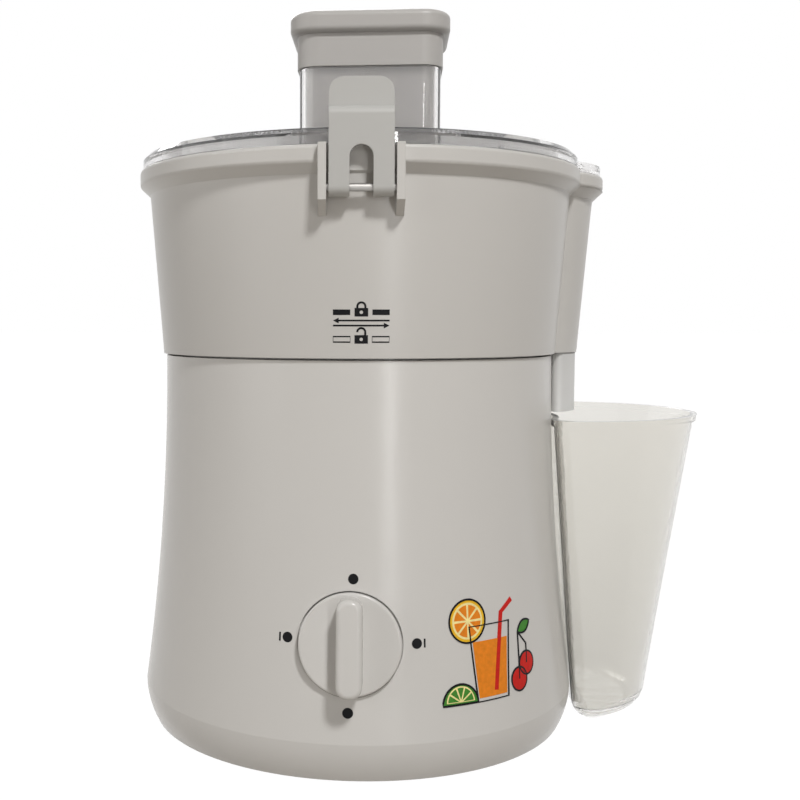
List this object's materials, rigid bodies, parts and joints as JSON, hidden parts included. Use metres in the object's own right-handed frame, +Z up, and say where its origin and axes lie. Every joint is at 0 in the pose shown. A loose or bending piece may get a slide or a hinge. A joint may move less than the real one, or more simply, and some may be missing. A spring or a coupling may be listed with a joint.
{
  "type": "centrifugal juicer",
  "caption": "Upright kitchen juicer: flared motor base with a dial, juice bowl with a spinning strainer basket, clear latched lid with a feed tube and pusher, and a side container for pulp.",
  "frame": {"origin": "Where the drive axis meets the table, under the middle of the motor base", "axes": "Z up along the drive axis; -Y to the front with the dial; +X to the user's right, the side of the pulp container"},
  "size_m": [0.2691, 0.2405, 0.3275],
  "materials": {
    "white_plastic": "smooth off-white moulded plastic",
    "grey_plastic": "plain moulded plastic",
    "milky_plastic": "milky see-through plastic",
    "clear_plastic": "clear moulded plastic",
    "basket_plastic": "smooth light plastic",
    "dark_plastic": "dark moulded plastic",
    "rubber": "matt rubber",
    "steel": "plain stainless steel",
    "iron": "laminated iron",
    "copper": "lacquered copper wire",
    "aluminium": "cast aluminium",
    "carbon": "pressed carbon"
  },
  "bodies": {
    "base": {"base_housing": "white_plastic", "base_plate": "grey_plastic", "rubber_feet": "rubber", "base_screws": "steel", "cord_grommet": "rubber", "rotary_switch": "dark_plastic", "lower_bracket": "aluminium", "upper_bracket": "aluminium", "lower_bearing": "steel", "upper_bearing": "steel", "stator_core": "iron", "field_coils": "copper", "brush_holders": "dark_plastic", "carbon_brushes": "carbon", "motor_bushes": "rubber", "motor_screws": "steel", "shaft_seal": "rubber"},
    "knob": {"control_knob": "white_plastic", "switch_spindle": "steel"},
    "rotor": {"motor_shaft": "steel", "armature_core": "iron", "armature_windings": "copper", "commutator": "copper", "cooling_fan": "dark_plastic", "drive_coupling": "dark_plastic", "basket_frame": "basket_plastic", "strainer_mesh": "steel", "grater_disc": "steel"},
    "bowl": {"juice_bowl": "white_plastic", "pulp_chute": "milky_plastic", "front_latch_pin": "steel", "rear_latch_pin": "steel"},
    "front_latch": {"front_latch": "white_plastic"},
    "rear_latch": {"rear_latch": "white_plastic"},
    "lid": {"lid": "clear_plastic"},
    "pusher": {"pusher": "white_plastic"},
    "container": {"pulp_container": "milky_plastic"}
  },
  "joints": [
    {"name": "knob_turn", "type": "hinge", "parent": "base", "child": "knob", "pos_m": [0, -0.09716, 0.058], "axis": [0, -0.9936, 0.1132], "range_deg": [-90, 90]},
    {"name": "drive_spin", "type": "hinge", "parent": "base", "child": "rotor", "pos_m": [0, 0, 0.2], "axis": [0, 0, 1], "continuous": true},
    {"name": "bowl_twist", "type": "hinge", "parent": "base", "child": "bowl", "pos_m": [0, 0, 0.18], "axis": [0, 0, 1], "range_deg": [0, 28]},
    {"name": "lid_lift", "type": "slide", "parent": "bowl", "child": "lid", "axis": [0, 0, 1], "range_m": [0, 0.055]},
    {"name": "front_latch_open", "type": "hinge", "parent": "bowl", "child": "front_latch", "pos_m": [0.00394, -0.10252, 0.24], "axis": [0.9993, 0.0384, 0], "range_deg": [0, 160]},
    {"name": "rear_latch_open", "type": "hinge", "parent": "bowl", "child": "rear_latch", "pos_m": [-0.00394, 0.10252, 0.24], "axis": [-0.9993, -0.0384, 0], "range_deg": [0, 160]},
    {"name": "pusher_slide", "type": "slide", "parent": "lid", "child": "pusher", "axis": [0, 0, 1], "range_m": [0, 0.09]},
    {"name": "container_pull", "type": "slide", "parent": "base", "child": "container", "axis": [0.9613, 0.2756, 0], "range_m": [0, 0.15]}
  ],
  "couplings": [
    {"joint": "front_latch_open", "follows": "lid_lift", "rad_per_m": 50.763},
    {"joint": "rear_latch_open", "follows": "lid_lift", "rad_per_m": 50.763}
  ]
}
